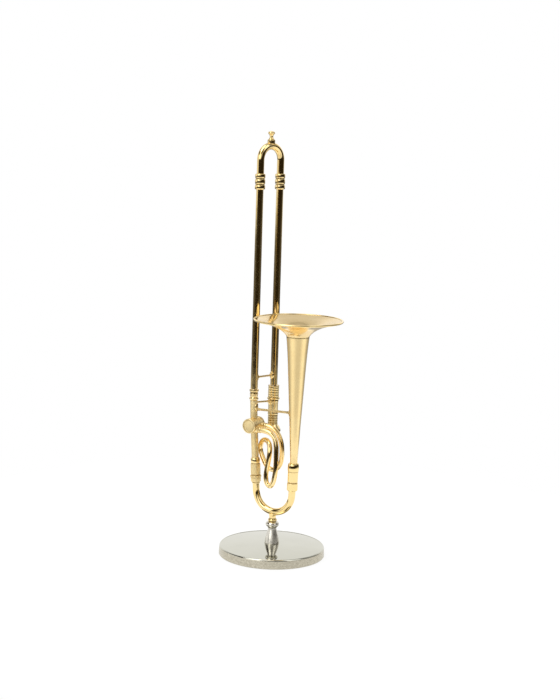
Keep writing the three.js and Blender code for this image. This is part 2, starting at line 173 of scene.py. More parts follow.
def arc_points(centre, radius, u, v, start, end, steps):
    angles = [start + (end - start) * i / steps for i in range(steps + 1)]
    return [centre + u * (radius * math.cos(a)) + v * (radius * math.sin(a)) for a in angles]


def spline(points, steps):
    """A centripetal Catmull-Rom curve through a few points."""
    p = [Vector(q) for q in points]
    p = [p[0] * 2 - p[1], *p, p[-1] * 2 - p[-2]]
    out = []
    for a, b, c, d in zip(p, p[1:], p[2:], p[3:]):
        ab, bc, cd = (math.sqrt((y - x).length) for x, y in ((a, b), (b, c), (c, d)))
        start = ((b - a) / ab - (c - a) / (ab + bc) + (c - b) / bc) * bc
        end = ((c - b) / bc - (d - b) / (bc + cd) + (d - c) / cd) * bc
        for i in range(steps):
            t = i / steps
            out.append(
                b
                + start * t
                + (c * 3 - b * 3 - start * 2 - end) * t**2
                + (b * 2 - c * 2 + start + end) * t**3
            )
    return [*out, p[-2]]


# ---- Outlines ----


def curve(points, steps=6):
    """A smooth outline through a few (radius, height) points."""
    return [(q.x, q.y) for q in spline([(r, z, 0) for r, z in points], steps)]


def ring_arc(r, z, radius, start, end, steps=8):
    """Part of a circle in an outline, about (r, z), from one angle to another in degrees."""
    angles = [math.radians(start + (end - start) * i / steps) for i in range(steps + 1)]
    return [(r + radius * math.cos(a), z + radius * math.sin(a)) for a in angles]


CORNER_TURN = 12  # degrees; a smaller turn is part of a curve and stays as it is
HOLLOW_TURN = 25  # degrees inwards, from where a corner gets painted shade
CORNER_SHARE = 0.45  # the most of a side that one corner may take
SUPPORTS = (0.12, 0.3, 0.6)  # distances of extra points beside a hollow, where its painted shade fades


def softened(outline, fillet):
    """The outline with its corners rounded, the corners that are hollows, and whether it is a ring."""
    points = [Vector((r, z)) for r, z in outline]
    closed = outline[0][0] > 0
    out, hollows = [], []
    for i, p in enumerate(points):
        if not closed and i in (0, len(points) - 1):
            out.append(p)
            continue
        before, after = points[i - 1] - p, points[(i + 1) % len(points)] - p
        turn = math.degrees((-before).angle_signed(after, 0))
        if abs(turn) < CORNER_TURN:
            out.append(p)
            continue
        back, ahead = before.length * CORNER_SHARE, after.length * CORNER_SHARE
        cut = min(fillet, back, ahead)
        before.normalize()
        after.normalize()
        supports = []
        if turn > HOLLOW_TURN:
            hollows.append(p)
            supports = [d for d in SUPPORTS if d > cut]
        out += [p + before * d for d in reversed(supports) if d < back]
        a, b = p + before * cut, p + after * cut
        for k in range(FILLET_STEPS + 1):
            t = k / FILLET_STEPS
            out.append(a * (1 - t) ** 2 + p * (2 * t * (1 - t)) + b * t**2)
        out += [p + after * d for d in supports if d < ahead]
    return out, hollows, closed


def stepped(points, closed, step):
    """The outline with long runs along the axis cut into steps."""
    out = []
    loops = points if not closed else [*points, points[0]]
    for a, b in zip(loops, loops[1:]):
        parts = max(1, math.ceil(abs(b.y - a.y) / step))
        out += [a.lerp(b, i / parts) for i in range(parts)]
    if not closed:
        out.append(points[-1])
    return out


# ---- Meshes ----

HOLLOW_REACH = 0.16  # how far the painted shade spreads from a hollow corner
ON_AXIS = 1e-6
SHARP_ANGLE = math.radians(32)


def shaded(piece):
    """The piece with smooth shading, sharp edges where it turns sharply, and even normals."""
    piece.data.shade_smooth()
    piece.data.set_sharp_from_angle(angle=SHARP_ANGLE)
    weighted = piece.modifiers.new("even_normals", "WEIGHTED_NORMAL")
    weighted.keep_sharp = True
    return piece


def finished(name, bm, materials):
    """A named object from a bmesh, with its faces outwards."""
    bmesh.ops.recalc_face_normals(bm, faces=bm.faces)
    if bm.calc_volume(signed=True) < 0:
        bmesh.ops.reverse_faces(bm, faces=bm.faces)
    mesh = bpy.data.meshes.new(name)
    bm.to_mesh(mesh)
    bm.free()
    piece = bpy.data.objects.new(name, mesh)
    bpy.context.scene.collection.objects.link(piece)
    for material in materials:
        mesh.materials.append(material)
    return shaded(piece)


def turned_mesh(outline, axis, sides=SIDES, step=math.inf, fillet=FILLET, finish_at=None):
    """A bmesh of an outline turned about an axis.

    `step` is the longest run along the axis, and `finish_at` picks a material for an outline point.
    """
    points, hollows, closed = softened(outline, fillet)
    points = stepped(points, closed, step)
    bm = bmesh.new()
    hollow_shade = bm.verts.layers.float.new("hollow_shade")
    turns = [2 * math.pi * k / sides for k in range(sides)]
    rings = []
    for p in points:
        place, u, v = axis.frame(p.y)
        # Painted shade: points near a hollow corner get a weight that the materials darken their colour
        # by.
        near = min([(p - h).length for h in hollows], default=math.inf)
        depth = math.exp(-((near / HOLLOW_REACH) ** 2))
        if p.x < ON_AXIS:
            ring = [bm.verts.new(place * MM)]
        else:
            ring = [
                bm.verts.new((place + (u * math.cos(a) + v * math.sin(a)) * p.x) * MM) for a in turns
            ]
        for vert in ring:
            vert[hollow_shade] = depth
        rings.append(ring)
    pairs = list(zip(rings, rings[1:]))
    spans = list(zip(points, points[1:]))
    if closed:
        pairs.append((rings[-1], rings[0]))
        spans.append((points[-1], points[0]))
    for (lower, upper), (p, q) in zip(pairs, spans):
        for k in range(sides):
            n = (k + 1) % sides
            corners = [lower[k % len(lower)], lower[n % len(lower)]]
            corners += [upper[n % len(upper)], upper[k % len(upper)]]
            face = bm.faces.new(dict.fromkeys(corners))
            if finish_at:
                face.material_index = finish_at((p + q) / 2)
    return bm


def turned(name, outline, axis, materials, **options):
    return finished(name, turned_mesh(outline, axis, **options), materials)


def cylinder(a, b, radius, sides=SIDES):
    """A plain solid rod from one place to another, as a tool for boolean()."""
    axis = between(a, b)
    outline = [(0, 0), (radius, 0), (radius, axis.length), (0, axis.length)]
    return turned_mesh(outline, axis, sides, fillet=0.0)


def filled(path):
    """The main tubing along a path without its bore, as a tool for boolean()."""
    outline = [(0, 0), (TUBE_R, 0), (TUBE_R, path.length), (0, path.length)]
    return turned_mesh(outline, path, step=BEND_STEP)


def sleeve_outline(outside, bore):
    """A ring or sleeve: its outside from low to high, round a straight bore."""
    return [(bore, outside[-1][1]), (bore, outside[0][1]), *outside]


def tube_outline(start, end, radius, bore):
    return sleeve_outline([(radius, start), (radius, end)], bore)


def boolean(piece, other_bm, operation):
    """Cuts or joins another mesh into a piece, and drops the other one."""
    mesh = bpy.data.meshes.new("tool")
    bmesh.ops.recalc_face_normals(other_bm, faces=other_bm.faces)
    other_bm.to_mesh(mesh)
    other_bm.free()
    tool = bpy.data.objects.new("tool", mesh)
    bpy.context.scene.collection.objects.link(tool)
    piece.modifiers.clear()
    cut = piece.modifiers.new("cut", "BOOLEAN")
    cut.operation = operation
    cut.solver = "EXACT"
    cut.object = tool
    graph = bpy.context.evaluated_depsgraph_get()
    made = bpy.data.meshes.new_from_object(piece.evaluated_get(graph))
    made.name = piece.name
    piece.modifiers.clear()
    piece.data = made
    bpy.data.objects.remove(tool)
    shaded(piece)


# ---- Materials ----


class Nodes:
    """Short names for the nodes of one material or world."""

    def __init__(self, owner):
        owner.use_nodes = True
        self.tree = owner.node_tree
        self.tree.nodes.clear()

    def add(self, kind, **inputs):
        node = self.tree.nodes.new(kind)
        for key, value in inputs.items():
            self.put(node.inputs[key], value)
        return node

    def put(self, socket, value):
        if isinstance(value, bpy.types.NodeSocket):
            self.tree.links.new(value, socket)
        else:
            socket.default_value = value

    def math(self, operation, a, b=0.0, clamp=False):
        node = self.tree.nodes.new("ShaderNodeMath")
        node.operation = operation
        node.use_clamp = clamp
        self.put(node.inputs[0], a)
        self.put(node.inputs[1], b)
        return node.outputs[0]

    def range(self, value, from_low, from_high, to_low, to_high, smooth=False):
        node = self.tree.nodes.new("ShaderNodeMapRange")
        if smooth:
            node.interpolation_type = "SMOOTHSTEP"
        for socket, v in zip(node.inputs, (value, from_low, from_high, to_low, to_high)):
            self.put(socket, v)
        return node.outputs[0]

    def mix(self, share, a, b):
        node = self.tree.nodes.new("ShaderNodeMix")
        node.data_type = "RGBA"
        self.put(node.inputs["Factor"], share)
        self.put(node.inputs[6], a)
        self.put(node.inputs[7], b)
        return node.outputs[2]

    def coordinates(self, stretch=(1, 1, 1)):
        place = self.tree.nodes.new("ShaderNodeTexCoord").outputs["Object"]
        return self.add("ShaderNodeMapping", Vector=place, Scale=stretch).outputs[0]

    def noise(self, size_mm, detail=2.0, stretch=(1, 1, 1), distortion=0.0):
        """Noise from 0 to 1 with patches of about this size."""
        node = self.add(
            "ShaderNodeTexNoise",
            Vector=self.coordinates(stretch),
            Scale=1 / (size_mm * MM),
            Detail=detail,
            Distortion=distortion,
        )
        return node.outputs["Fac"]

    def bump(self, height, depth_mm, normal=None):
        node = self.add("ShaderNodeBump", Height=height, Distance=depth_mm * MM, Strength=1.0)
        if normal is not None:
            self.put(node.inputs["Normal"], normal)
        return node.outputs[0]

    def attribute(self, name):
        node = self.tree.nodes.new("ShaderNodeAttribute")
        node.attribute_name = name
        return node.outputs["Fac"]

    def surface(self, colour, roughness, normal, metallic=1.0):
        shader = self.add("ShaderNodeBsdfPrincipled", Roughness=roughness)
        self.put(shader.inputs["Base Color"], colour)
        shader.inputs["Metallic"].default_value = metallic
        self.put(shader.inputs["Normal"], normal)
        out = self.tree.nodes.new("ShaderNodeOutputMaterial")
        self.tree.links.new(shader.outputs[0], out.inputs[0])
        return shader


def rgb(r, g, b):
    return (r, g, b, 1.0)


def polished(name, bright, deep, hollow_shade_colour, roughness, wave_mm):
    """Plated, hand-polished metal: faintly wavy, with hairlines, and with painted shade darkening its
    hollows.
    """
    material = bpy.data.materials.new(name)
    n = Nodes(material)
    patches = n.range(n.noise(9, detail=3), 0.35, 0.7, 0, 1)
    # Painted shade: hollow corners are darkened, in speckles, towards the shade colour, and made a little
    # rougher.
    hollow_shade_weight = n.attribute("hollow_shade")
    speckle = n.noise(0.5, detail=4)
    speckled_shade = n.math("MULTIPLY", hollow_shade_weight, n.range(speckle, 0.3, 0.6, 0.45, 0.8), clamp=True)
    colour = n.mix(speckled_shade, n.mix(patches, rgb(*bright), rgb(*deep)), rgb(*hollow_shade_colour))
    smear = n.range(n.noise(3.5, detail=6, distortion=0.6), 0.3, 0.75, roughness * 0.7, roughness * 1.5)
    rough = n.math("ADD", smear, n.math("MULTIPLY", speckled_shade, 0.3), clamp=True)
    waves = n.bump(n.noise(5, detail=1), wave_mm)
    hairlines = n.noise(0.5, detail=2, stretch=(1, 1, 0.08))
    n.surface(colour, rough, n.bump(hairlines, 0.0003, waves))
    return material


def brushed(name, bright, deep, roughness, line_mm, depth_mm):
    """Metal left with fine turning lines round the Z axis."""
    material = bpy.data.materials.new(name)
    n = Nodes(material)
    lines = n.noise(line_mm, detail=4, stretch=(0.03, 0.03, 1))
    patches = n.range(n.noise(7, detail=4), 0.3, 0.7, 0, 1)
    tone = n.math("ADD", n.math("MULTIPLY", patches, 0.6), n.math("MULTIPLY", lines, 0.4))
    colour = n.mix(tone, rgb(*bright), rgb(*deep))
    # Painted shade: hollow corners are darkened towards a dark brown.
    hollow_shade_weight = n.attribute("hollow_shade")
    colour = n.mix(n.math("MULTIPLY", hollow_shade_weight, 0.5), colour, rgb(0.13, 0.09, 0.04))
    rough = n.range(lines, 0.25, 0.75, roughness * 0.8, roughness * 1.25)
    scuffs = n.bump(n.noise(1.6, detail=5, distortion=1.2), depth_mm * 0.8)
    shader = n.surface(colour, rough, n.bump(lines, depth_mm, scuffs))
    shader.inputs["Anisotropic"].default_value = 0.35
    return material


def base_nickel():
    """The stand's disc: a mirror on top, fine turning lines on its side wall."""
    material = bpy.data.materials.new("stand_nickel")
    n = Nodes(material)
    height = n.add("ShaderNodeSeparateXYZ", Vector=n.coordinates()).outputs["Z"]
    wall_top, dome_foot = 4.15 * MM, 4.35 * MM
    side = n.range(height, wall_top, dome_foot, 1, 0, smooth=True)
    lines = n.noise(0.22, detail=4, stretch=(0.05, 0.05, 1))
    mottle = n.noise(1.1, detail=5, stretch=(1, 1, 1.6))
    patches = n.range(n.noise(14, detail=3), 0.35, 0.7, 0, 1)
    mirror = n.mix(patches, rgb(0.62, 0.61, 0.525), rgb(0.59, 0.58, 0.495))
    wall = n.mix(n.range(mottle, 0.3, 0.7, 0, 1), rgb(0.62, 0.58, 0.465), rgb(0.46, 0.425, 0.33))
    # Painted shade: the side wall darkens towards its foot, where it stands on the table.
    foot = n.range(height, 0.1 * MM, 0.9 * MM, 0.7, 0, smooth=True)
    wall = n.mix(foot, wall, rgb(0.30, 0.28, 0.21))
    swirl = n.range(n.noise(2.4, detail=6), 0.35, 0.75, 0.012, 0.04)
    matt = n.range(lines, 0.3, 0.7, 0.22, 0.36)
    top = n.math("SUBTRACT", 1, side)
    rough = n.math("ADD", n.math("MULTIPLY", side, matt), n.math("MULTIPLY", top, swirl))
    ripple = n.bump(n.noise(12, detail=1), 0.004)
    grain = n.math("MULTIPLY", side, n.math("ADD", lines, mottle))
    n.surface(n.mix(side, mirror, wall), rough, n.bump(grain, 0.02, ripple))
    return material


def felt():
    material = bpy.data.materials.new("green_felt")
    n = Nodes(material)
    fibres = n.noise(0.12, detail=6, distortion=2.5)
    tufts = n.noise(1.5, detail=4)
    tone = n.math("ADD", fibres, n.math("SUBTRACT", tufts, 0.5))
    colour = n.mix(tone, rgb(0.012, 0.03, 0.018), rgb(0.04, 0.085, 0.055))
    rough = n.range(fibres, 0.3, 0.7, 0.85, 1.0)
    shader = n.surface(colour, rough, n.bump(fibres, 0.12), metallic=0.0)
    shader.inputs["Sheen Weight"].default_value = 0.4
    return material


# Colours of the painted shade in hollow corners, on gold and on nickel; the slide chrome takes a grey
# one.
GOLD_HOLLOW_SHADE = (0.20, 0.12, 0.035)
NICKEL_HOLLOW_SHADE = (0.16, 0.14, 0.10)

GOLD = polished("polished_gold", (1.0, 0.79, 0.40), (0.97, 0.72, 0.31), GOLD_HOLLOW_SHADE, 0.075, 0.012)
WRAP_GOLD = polished("wrap_gold", (1.0, 0.79, 0.41), (0.97, 0.72, 0.32), GOLD_HOLLOW_SHADE, 0.09, 0.012)
SOFT_GOLD = polished("soft_gold", (1.0, 0.82, 0.45), (0.98, 0.76, 0.37), GOLD_HOLLOW_SHADE, 0.42, 0.006)
SATIN_GOLD = brushed("turned_gold", (1.0, 0.79, 0.40), (0.94, 0.70, 0.33), 0.17, 0.09, 0.001)
BELL_GOLD = brushed("bell_inside_gold", (0.93, 0.725, 0.39), (0.86, 0.645, 0.32), 0.2, 0.2, 0.0012)
# The braces' brushed gold is darkened to paint the dark reflections that the thin rods show.
DARK_REFLECTION_ROD_GOLD = brushed("rod_gold_painted_dark_reflection", (0.78, 0.60, 0.29), (0.62, 0.46, 0.20), 0.3, 0.3, 0.002)
NICKEL = polished("polished_nickel", (0.72, 0.69, 0.61), (0.66, 0.62, 0.53), NICKEL_HOLLOW_SHADE, 0.1, 0.006)
SOFT_NICKEL = polished("soft_nickel", (0.76, 0.73, 0.65), (0.70, 0.66, 0.57), NICKEL_HOLLOW_SHADE, 0.28, 0.006)
BASE_NICKEL = base_nickel()
CHROME = polished("slide_chrome", (0.66, 0.67, 0.68), (0.60, 0.61, 0.62), (0.2, 0.2, 0.2), 0.06, 0.002)
ROTOR_BRASS = brushed("rotor_brass", (0.86, 0.62, 0.27), (0.74, 0.50, 0.20), 0.25, 0.2, 0.004)
STEEL = brushed("screw_steel", (0.48, 0.48, 0.47), (0.36, 0.36, 0.35), 0.34, 0.14, 0.005)
FELT = felt()

# The body of the record that each CAD node belongs to.
BODIES = frame["record"]["behaviour"]["bodies"]
BODY_OF = {node: body for body, nodes in BODIES.items() for node in nodes}


def stands_for(piece, node):
    """Puts a piece in the place of its CAD node, on the same body, and hides the node."""
    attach(piece, BODY_OF[node])
    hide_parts(node)


# ---- Stand ----


def stand():
    axis = upright(STAND_AXIS)
    edge_z, crown_z, top_r = 4.6, high("base_disc").z, 24.45
    hole_r = 1.65
    recess_z, recess_r, pad_r = 1.05, radius_of("base_pad") + 0.15, radius_of("base_pad")
    pocket_z, pocket_r = 3.2, 3.0
    dome_r, dome_steps = top_r - 0.35, 12
    dome = []
    for i in range(dome_steps + 1):
        r = dome_r + (hole_r - dome_r) * i / dome_steps
        dome.append((r, edge_z + (crown_z - edge_z) * (1 - (r / top_r) ** 2)))
    foot_z = low("base_disc").z
    outline = [
        (hole_r, pocket_z),
        (pocket_r, pocket_z),
        (pocket_r, recess_z),
        (recess_r, recess_z),
        (recess_r, foot_z),
        (BASE_R - 0.3, foot_z),
        (BASE_R, foot_z + 0.3),
        (BASE_R - 0.2, edge_z - 0.55),
        *ring_arc(top_r - 0.2, edge_z - 0.55, 0.75, 4, 82),
        *dome,
    ]
    stands_for(turned("disc", outline, axis, [BASE_NICKEL], sides=FINE_SIDES), "base_disc")

    pad_t = high("base_pad").z
    outline = [(0, 0), (pad_r, 0), (pad_r, pad_t), (0, pad_t)]
    stands_for(turned("felt_pad", outline, axis, [FELT], sides=FINE_SIDES, fillet=0.25), "base_pad")

    head_low, head_top, tip = 1.2, 3.05, high("stem_screw").z
    pitch, thread = 0.5, []
    z = head_top + 0.3
    while z < tip - pitch:
        thread += [(1.4, z), (1.4, z + 0.1), (1.22, z + 0.3), (1.22, z + 0.4)]
        z += pitch
    socket = [(0, 2.3), (1.2, 2.3), (1.2, head_low)]
    outline = [*socket, (2.7, head_low), (2.7, head_top), (1.4, head_top)]
    outline += [*thread, (1.1, tip), (0, tip)]
    stands_for(turned("screw", outline, axis, [STEEL], fillet=0.08), "stem_screw")

    top = high("stand_stem").z
    body = curve([(3.45, 6.35), (3.3, 7.4), (2.95, 9.2), (2.5, 11.0), (2.12, 12.6), (2.03, 13.3)])
    outline = [
        (0, 12.3),
        (1.55, 12.3),
        (1.55, crown_z - 0.02),
        (3.5, crown_z - 0.02),
        (3.5, 6.1),
        *body,
        *ring_arc(2.0, 15.05, 1.25, -72, 68, 12),
        (1.9, top - 0.25),
        (1.05, top - 0.25),
        (1.05, 12.9),
        (0, 12.9),
    ]
    ring_foot = 13.6  # the stem is frosted up to here, and its ring is polished

    def finish_at(p):
        return int(p.y > ring_foot)

    finishes = [SOFT_NICKEL, NICKEL]
    stem = turned("stem", outline, axis, finishes, sides=RING_SIDES, fillet=0.08, finish_at=finish_at)
    stands_for(stem, "stand_stem")


# ---- Tuning bow, its ferrules and the neck ----

left_up = Vector((-math.sin(LEFT_LEAN), 0, math.cos(LEFT_LEAN)))
right_up = Vector((math.sin(RIGHT_LEAN), 0, math.cos(RIGHT_LEAN)))
bow_arc = arc_points(BOW_CENTRE, BOW_R, X, Z, math.pi + LEFT_LEAN, 2 * math.pi - RIGHT_LEAN, 60)
left_foot, right_foot = bow_arc[0], bow_arc[-1]
left_leg = between(left_foot, left_foot + left_up)
right_leg = between(right_foot, right_foot + right_up)


def left_at(z):
    """The distance up the left leg's axis at a height."""
    return (z - left_foot.z) / left_up.z


def bow():
    path = Axis([left_foot + left_up * LEFT_LEG, *bow_arc, right_foot + right_up * RIGHT_LEG])
    outline = tube_outline(0, path.length, TUBE_R, TUBE_BORE)
    stands_for(turned("bow", outline, path, [GOLD], step=BEND_STEP), "tuning_bow")

    foot, crest = low("mount_knob").z, high("mount_knob").z
    seat = high("stand_stem").z
    outline = [
        (0, foot),
        (0.85, foot),
        (0.85, seat - 0.2),
        (1.8, seat - 0.2),
        *ring_arc(1.72, seat + 0.4, 0.5, -75, 75),
        (1.62, seat + 1.2),
        (1.6, seat + 1.8),
        (1.72, seat + 2.6),
        (1.95, crest),
        (0, crest),
    ]
    knob = turned("knob", outline, upright(STAND_AXIS), [GOLD], fillet=0.12)
    boolean(knob, filled(path), "DIFFERENCE")
    stands_for(knob, "mount_knob")

    bore = TUBE_R + 0.01
    outside = [
        (1.92, 3.2), (1.95, 3.9), (2.42, 4.2), (2.46, 6.15), (2.7, 6.35), (2.7, 7.1),
        (2.12, 7.2), (2.12, 7.55), (2.35, 7.65), (2.35, 12.7), (2.05, 12.8), (2.05, 13.0),
        *curve([(2.14, 13.1), (2.23, 13.8), (2.22, 14.6), (2.1, 15.3), (1.95, 15.7)], 4),
    ]
    bead_foot = 13  # the bead above this is polished

    def finish_at(p):
        return int(p.y > bead_foot)

    outline = sleeve_outline(outside, bore)
    ferrule = turned("left_ferrule", outline, left_leg, [SOFT_GOLD, GOLD], finish_at=finish_at)
    stands_for(ferrule, "valve_side_ferrule")

    outside = [
        (2.4, 2.3), (2.6, 2.65), (2.6, 6.0), (2.15, 6.08), (2.15, 6.45), (2.5, 6.55), (2.52, 11.55),
        *curve([(2.62, 11.75), (2.69, 12.8), (2.66, 13.9), (2.55, 14.8), (2.3, 15.5)], 4),
    ]
    ferrule = turned("right_ferrule", sleeve_outline(outside, bore), right_leg, [GOLD])
    stands_for(ferrule, "bell_side_ferrule")


def neck():
    valve_z, reach = middle("valve_casing").z, VALVE_R - 0.35
    outline = tube_outline(LEFT_LEG + 0.02, left_at(valve_z - reach), TUBE_R, TUBE_BORE)
    stands_for(turned("neck_lower", outline, left_leg, [SOFT_GOLD]), "neck_tube_lower")
    start = left_foot + left_up * left_at(valve_z + reach)
    end = Vector((LEFT_AXIS.x, LEFT_AXIS.y, high("neck_tube_upper").z))
    path = between(start, end)
    outline = tube_outline(0, path.length + 0.2, TUBE_R, TUBE_BORE)
    stands_for(turned("neck_upper", outline, path, [SOFT_GOLD]), "neck_tube_upper")


# ---- Bell ----

STEM_POINTS = [
    (1.72, 45.3), (1.85, 50), (2.25, 57), (2.65, 65), (3.2, 74.5), (3.75, 84), (4.3, 93.5),
    (4.85, 101), (5.38, 106.49),
]
FLARE_POINTS = [
    (5.4, 106.52), (5.95, 107.35), (7.1, 108.5), (8.8, 109.7), (11.2, 110.9), (14.2, 112),
    (17.6, 113), (BELL_R - 1.0, 113.72),
]


def bell():
    axis = upright(BELL_AXIS)
    outer = curve(STEM_POINTS, 5)
    outline = [*outer, *((r - BELL_WALL, z) for r, z in reversed(outer))]
    stem = turned("bell_tail", outline, axis, [SATIN_GOLD], sides=RING_SIDES, fillet=0.05)
    stands_for(stem, "bell_stem")

    outer = curve(FLARE_POINTS, 7)
    bead_r = 0.5
    rim = ring_arc(BELL_R - bead_r, 114.0, bead_r, -150, 165, 18)
    wall = 0.36
    inner = [(r - wall, z + wall) for r, z in outer[2:-1]]
    seam_r, seam_z = FLARE_POINTS[0]
    lap_r, lap_z = seam_r - BELL_WALL - 0.28, seam_z - 1.6  # a short lap inside the stem closes the seam
    lap = [(lap_r - 0.2, lap_z), (lap_r, lap_z), (lap_r, seam_z - 0.02)]

    def finish_at(p):
        if p.x > BELL_R - 2 * bead_r - 0.05:
            return 0
        return 1 if any(p.y > z + wall / 2 for r, z in outer if abs(r - p.x) < 0.5) else 2

    finishes = [GOLD, BELL_GOLD, SATIN_GOLD]  # its rim, its inside and its underside
    options = {"sides": FINE_SIDES, "fillet": 0.03, "finish_at": finish_at}
    outline = [*outer, *rim, *reversed(inner), *lap]
    stands_for(turned("bell_rim_flare", outline, axis, finishes, **options), "bell_flare")


# ---- Valve ----

VALVE = Vector((CAP_CENTRE.x, 0, CAP_CENTRE.z))
VALVE_R = 3.5
VALVE_BORE = 2.85
VALVE_AXIS = between(VALVE, VALVE + Y)
PORT_FRONT = Vector((VALVE.x + VALVE_R + 0.25, -2.8, 60.2))
PORT_REAR = Vector((VALVE.x + VALVE_R + 0.25, 1.9, 61.6))


def valve():
    front, back = low("valve_casing").y, high("valve_casing").y
    body = [
        (VALVE_BORE, front),
        (VALVE_R - 0.12, front),
        (VALVE_R, front + 0.12),
        (VALVE_R, front + 0.9),
        (VALVE_R - 0.08, front + 1.0),
        (VALVE_R - 0.08, back - 1.2),
        (VALVE_R, back - 1.1),
        (VALVE_R, back - 0.35),
        (VALVE_R - 0.3, back),
        (VALVE_BORE, back),
    ]
    casing = turned("casing", body, VALVE_AXIS, [SOFT_GOLD], sides=RING_SIDES, fillet=0.08)
    collar_r = TUBE_R + 0.28
    for sign in (1, -1):
        start = VALVE + left_up * (sign * (VALVE_R - 0.6))
        end = VALVE + left_up * (sign * (VALVE_R + 0.75))
        boolean(casing, cylinder(start, end, collar_r), "UNION")
    for port in (PORT_FRONT, PORT_REAR):
        start = Vector((VALVE.x + 2.0, port.y, port.z))
        boolean(casing, cylinder(start, port + X * 0.45, WRAP_R + 0.24), "UNION")
    bore = cylinder(VALVE + Y * (front - 1), VALVE + Y * (back + 1), VALVE_BORE, RING_SIDES)
    boolean(casing, bore, "DIFFERENCE")
    boolean(casing, cylinder(VALVE - left_up * 6, VALVE + left_up * 6, TUBE_BORE), "DIFFERENCE")
    for port in (PORT_FRONT, PORT_REAR):
        start = Vector((VALVE.x + 1.0, port.y, port.z))
        boolean(casing, cylinder(start, port + X * 2, WRAP_BORE), "DIFFERENCE")
    stands_for(casing, "valve_casing")

    cap_front, cap_back = low("valve_front_cap").y, high("valve_front_cap").y
    outline = [
        (0, cap_back + 0.1),
        (VALVE_R - 0.12, cap_back + 0.1),
        (VALVE_R, cap_back),
        (VALVE_R, cap_front + 0.45),
        *ring_arc(VALVE_R - 0.4, cap_front + 0.4, 0.4, 0, -90, 6),
        (2.72, cap_front),
        (2.55, cap_front + 0.2),
        (0.5, cap_front + 0.24),
        (0, cap_front + 0.24),
    ]
    cap = turned("cap", outline, VALVE_AXIS, [SOFT_GOLD], sides=RING_SIDES, fillet=0.08)
    stands_for(cap, "valve_front_cap")

    plate_front, plate_back = low("valve_back_plate").y, high("valve_back_plate").y
    outline = [
        (0.72, plate_back),
        (0.72, plate_front),
        (VALVE_BORE - 0.03, plate_front),
        (VALVE_BORE - 0.03, plate_back),
        (1.9, plate_back),
        (1.75, plate_back - 0.12),
        (1.5, plate_back - 0.12),
        (1.4, plate_back),
    ]
    plate = turned("bearing_plate", outline, VALVE_AXIS, [GOLD], sides=RING_SIDES, fillet=0.06)
    stands_for(plate, "valve_back_plate")

    rotor_front, rotor_back, tip = low("valve_rotor").y, 2.8, high("valve_rotor").y
    rotor_r = 2.7
    outline = [
        (0, rotor_front),
        (rotor_r, rotor_front),
        (rotor_r, rotor_back),
        (0.6, rotor_back),
        (0.6, tip - 0.1),
        (0.45, tip),
        (0, tip),
    ]
    rotor = turned("rotor", outline, VALVE_AXIS, [ROTOR_BRASS], sides=WIDE_SIDES, fillet=0.06)
    passage_r, passage_off, past = 1.2, 1.9, 4
    for side in (-1, 1):
        centre = VALVE + X * (side * passage_off)
        boolean(rotor, cylinder(centre - Z * past, centre + Z * past, passage_r), "DIFFERENCE")
    stands_for(rotor, "valve_rotor")

    lever()


def lever():
    """A tapered thumb plate on the rotor's spindle, with a shallow dish for the thumb."""
    hub_r, thumb_r, reach, tilt = 1.15, 1.5, 5.2, math.radians(190)
    thick, near = 0.8, low("thumb_lever").y
    taper = math.asin((thumb_r - hub_r) / reach)
    steps = 20
    along = Vector((math.cos(tilt), 0, math.sin(tilt)))
    across = Vector((-math.sin(tilt), 0, math.cos(tilt)))
    edge = []
    for centre, radius, start, end in (
        (0.0, hub_r, math.pi / 2 + taper, 1.5 * math.pi - taper),
        (reach, thumb_r, -math.pi / 2 - taper, math.pi / 2 + taper),
    ):
        for i in range(steps + 1):
            a = start + (end - start) * i / steps
            edge.append((centre + radius * math.cos(a), radius * math.sin(a)))
    bm = bmesh.new()
    bm.verts.layers.float.new("hollow_shade")
    loops = []
    bevelled = [(0, 0.12), (0.12, 0), (thick - 0.12, 0), (thick, 0.12)]
    dish = [(thick, 0.45), (thick - 0.1, 0.7)]
    for y, inset in (*bevelled, *dish):
        loop = []
        for i, (p, q) in enumerate(edge):
            before, after = edge[i - 1], edge[(i + 1) % len(edge)]
            outward = Vector((after[1] - before[1], before[0] - after[0])).normalized()
            p, q = p - outward.x * inset, q - outward.y * inset
            loop.append(bm.verts.new((VALVE + Y * (near + y) + along * p + across * q) * MM))
        loops.append(loop)
    count = len(edge)
    for a, b in zip(loops, loops[1:]):
        for i in range(count):
            j = (i + 1) % count
            bm.faces.new((a[i], a[j], b[j], b[i]))
    bm.faces.new(loops[0])
    bm.faces.new(loops[-1])
    stands_for(finished("lever_plate", bm, [GOLD]), "thumb_lever")


# ---- F wrap ----

WRAP_FRONT = [
    (-5.4, -2.8, 60.2), (-2.4, -2.8, 60), (0, -2.8, 59), (1.6, -2.8, 57.2), (2.6, -3.1, 53.5),
    (3, -3.5, 48.2), (3.2, -4, 42.8), (2.8, -4.3, 38.4), (2, -4.6, 35.5), (0.7, -4.6, 34.4),
    (-0.9, -4.6, 35.4), (-1.8, -4.4, 37.9), (-1.7, -4, 41.9), (-0.9, -3.6, 46.7),
    (-0.7, -3.2, 51.1), (-1.5, -2.3, 53.9), (-3.2, -1.2, 55.1), (-5.4, 0, 55.3),
]
WRAP_REAR = [
    (-7.6, 1.3, 54.3), (-9.2, 2.5, 52.2), (-9.75, 2.9, 50), (-8.9, 2.8, 47.4), (-7.6, 2.7, 45),
    (-5.7, 2.6, 42), (-3.4, 2.5, 40.7), (-0.9, 2.5, 40.9), (1.1, 2.5, 42.6), (2.3, 2.5, 45),
    (2.6, 2.5, 49), (2.3, 2.4, 53.8), (1.1, 2.3, 57.2), (-0.8, 2.2, 59.7), (-3.4, 2.1, 61.1),
    (-5.8, 2, 61.6),
]
WRAP_JOIN = Vector((-6.2, 0.4, 55.1))  # the two lengths of the wrap meet here


def relaxed(points, rounds=40):
    """The points of a bent tube, evened out with its ends held."""
    for _ in range(rounds):
        inner = [b.lerp((a + c) / 2, 0.5) for a, b, c in zip(points, points[1:], points[2:])]
        points = [points[0], *inner, points[-1]]
    return points


